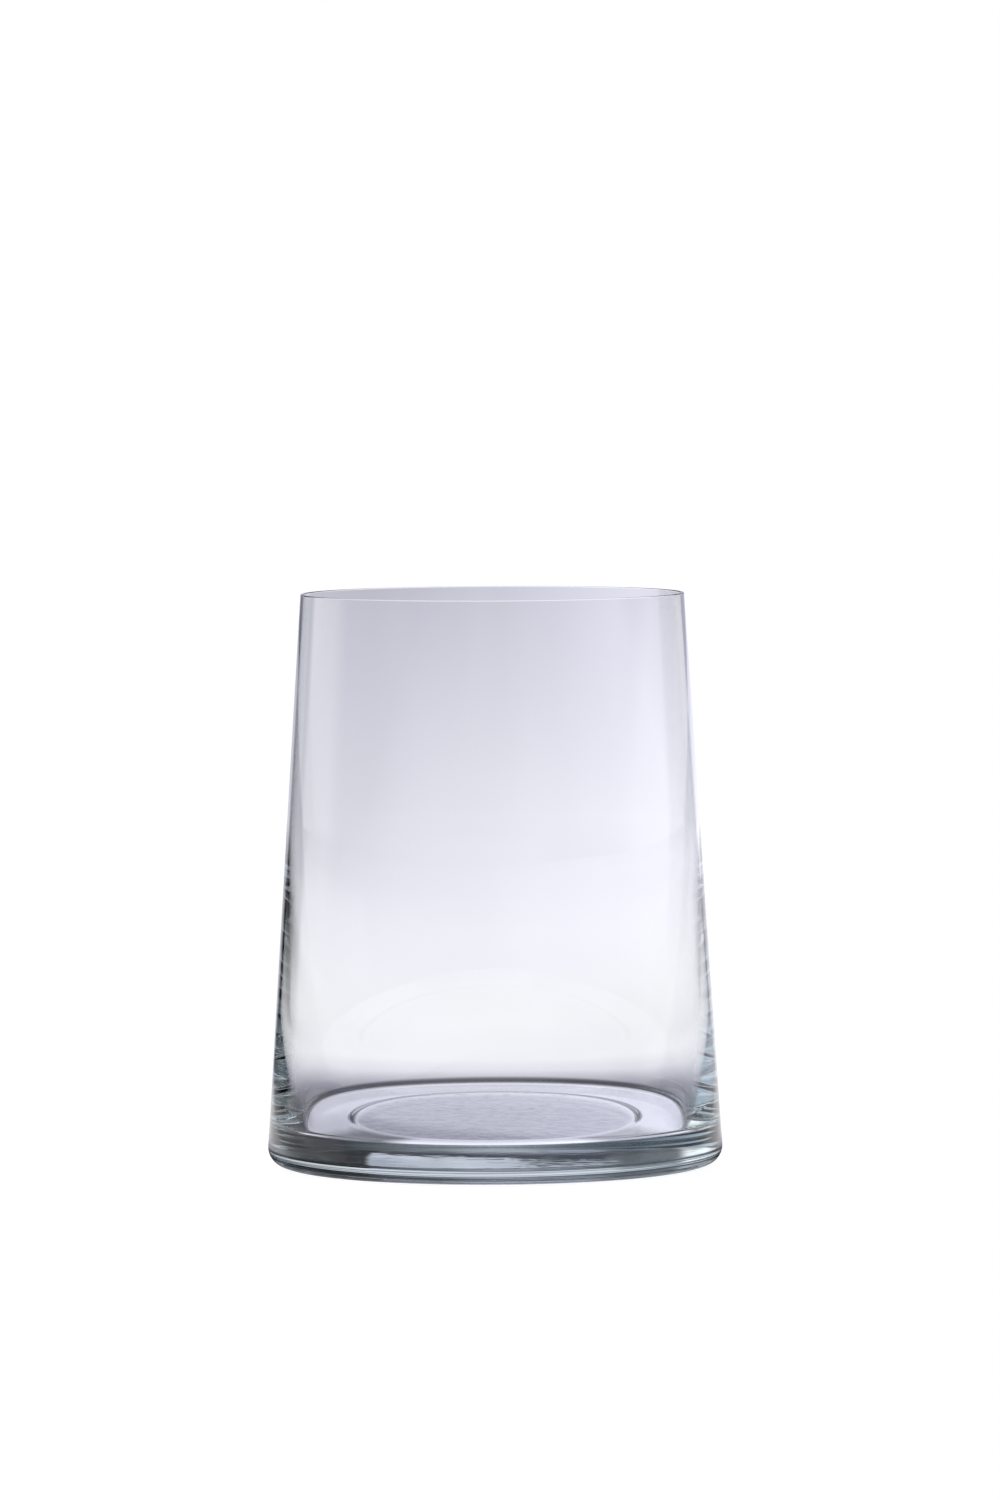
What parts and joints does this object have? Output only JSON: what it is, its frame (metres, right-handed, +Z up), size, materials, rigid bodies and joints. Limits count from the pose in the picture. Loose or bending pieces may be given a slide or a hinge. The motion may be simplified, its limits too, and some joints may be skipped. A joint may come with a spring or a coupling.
{
  "type": "tapered glass table vase",
  "caption": "Clear glass table vase: a round vessel that narrows towards a thin fire-polished rim, with a thick heavy base.",
  "frame": {"origin": "centre of the standing plane, where the standing ring meets the table", "axes": "+Z up along the vase's axis, out of its mouth; the body is round, so +X and +Y are free"},
  "size_m": [0.1592, 0.1592, 0.2],
  "materials": {
    "clear_glass": "clear, polished, very faint blue-green in the thick base"
  },
  "bodies": {
    "root": {"foot_ring": "clear_glass", "base": "clear_glass", "wall": "clear_glass", "rim": "clear_glass"}
  },
  "joints": []
}
